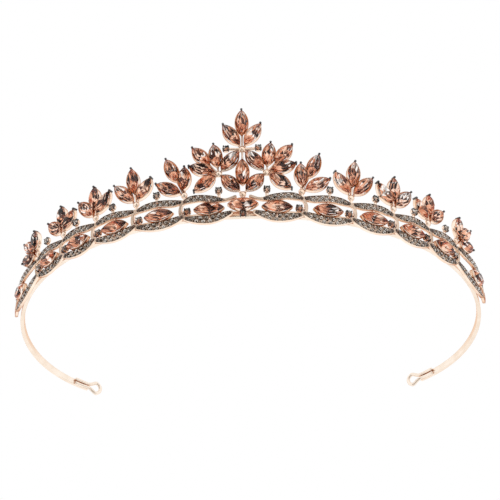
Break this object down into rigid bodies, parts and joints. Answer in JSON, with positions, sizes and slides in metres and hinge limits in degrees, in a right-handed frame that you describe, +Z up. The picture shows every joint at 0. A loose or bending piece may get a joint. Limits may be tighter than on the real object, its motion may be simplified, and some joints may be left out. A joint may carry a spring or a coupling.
{
  "type": "bridal tiara",
  "caption": "Bridal tiara: open sprung headband with a leaning crest, scalloped ribbon wings and marquise crystals, and a wire loop at each end.",
  "frame": {"origin": "middle of the bounding box in X and Y, at the height of the lowest scallops, on which the tiara stands", "axes": "+X across the tiara to the right wing, +Y from the crest towards the open back, +Z up"},
  "size_m": [0.1572, 0.1076, 0.0399],
  "materials": {
    "rose_gold_casting": "polished rose gold plate",
    "polished_strip": "polished pale rose gold plate",
    "peach_crystal": "clear peach"
  },
  "bodies": {
    "ornament": {"headband_front": "polished_strip", "crest_frame": "rose_gold_casting", "wing_frame_left": "rose_gold_casting", "wing_frame_right": "rose_gold_casting", "crystal_top_centre": "peach_crystal", "crystal_hanging_centre": "peach_crystal", "crystal_cell_centre": "peach_crystal", "crystal_crest_top_left": "peach_crystal", "crystal_crest_upper_inner_left": "peach_crystal", "crystal_crest_lower_inner_left": "peach_crystal", "crystal_crest_rising_left": "peach_crystal", "crystal_crest_spread_left": "peach_crystal", "crystal_crest_side_left": "peach_crystal", "crystal_crest_falling_left": "peach_crystal", "crystal_cell_1_left": "peach_crystal", "crystal_cell_2_left": "peach_crystal", "crystal_cell_3_left": "peach_crystal", "crystal_cell_4_left": "peach_crystal", "crystal_cell_5_left": "peach_crystal", "crystal_cell_6_left": "peach_crystal", "crystal_cluster_1_inner_left": "peach_crystal", "crystal_cluster_1_middle_left": "peach_crystal", "crystal_cluster_1_outer_left": "peach_crystal", "crystal_cluster_2_inner_left": "peach_crystal", "crystal_cluster_2_middle_left": "peach_crystal", "crystal_cluster_2_outer_left": "peach_crystal", "crystal_cluster_3_inner_left": "peach_crystal", "crystal_cluster_3_middle_left": "peach_crystal", "crystal_cluster_3_outer_left": "peach_crystal", "crystals_cluster_4_left": "peach_crystal", "crystals_cluster_5_left": "peach_crystal", "crystal_crest_top_right": "peach_crystal", "crystal_crest_upper_inner_right": "peach_crystal", "crystal_crest_lower_inner_right": "peach_crystal", "crystal_crest_rising_right": "peach_crystal", "crystal_crest_spread_right": "peach_crystal", "crystal_crest_side_right": "peach_crystal", "crystal_crest_falling_right": "peach_crystal", "crystal_cell_1_right": "peach_crystal", "crystal_cell_2_right": "peach_crystal", "crystal_cell_3_right": "peach_crystal", "crystal_cell_4_right": "peach_crystal", "crystal_cell_5_right": "peach_crystal", "crystal_cell_6_right": "peach_crystal", "crystal_cluster_1_inner_right": "peach_crystal", "crystal_cluster_1_middle_right": "peach_crystal", "crystal_cluster_1_outer_right": "peach_crystal", "crystal_cluster_2_inner_right": "peach_crystal", "crystal_cluster_2_middle_right": "peach_crystal", "crystal_cluster_2_outer_right": "peach_crystal", "crystal_cluster_3_inner_right": "peach_crystal", "crystal_cluster_3_middle_right": "peach_crystal", "crystal_cluster_3_outer_right": "peach_crystal", "crystals_cluster_4_right": "peach_crystal", "crystals_cluster_5_right": "peach_crystal"},
    "arm_left": {"headband_arm_left": "polished_strip", "end_loop_left": "polished_strip"},
    "arm_right": {"headband_arm_right": "polished_strip", "end_loop_right": "polished_strip"}
  },
  "joints": [
    {"name": "arm_flex_left", "type": "hinge", "parent": "ornament", "child": "arm_left", "pos_m": [-0.07663, 0.00734, 0], "axis": [0, 0, 1], "range_deg": [-4, 12], "stiffness_Nm_per_rad": 0.2},
    {"name": "arm_flex_right", "type": "hinge", "parent": "ornament", "child": "arm_right", "pos_m": [0.07663, 0.00734, 0], "axis": [0, 0, -1], "range_deg": [-4, 12], "stiffness_Nm_per_rad": 0.2}
  ]
}
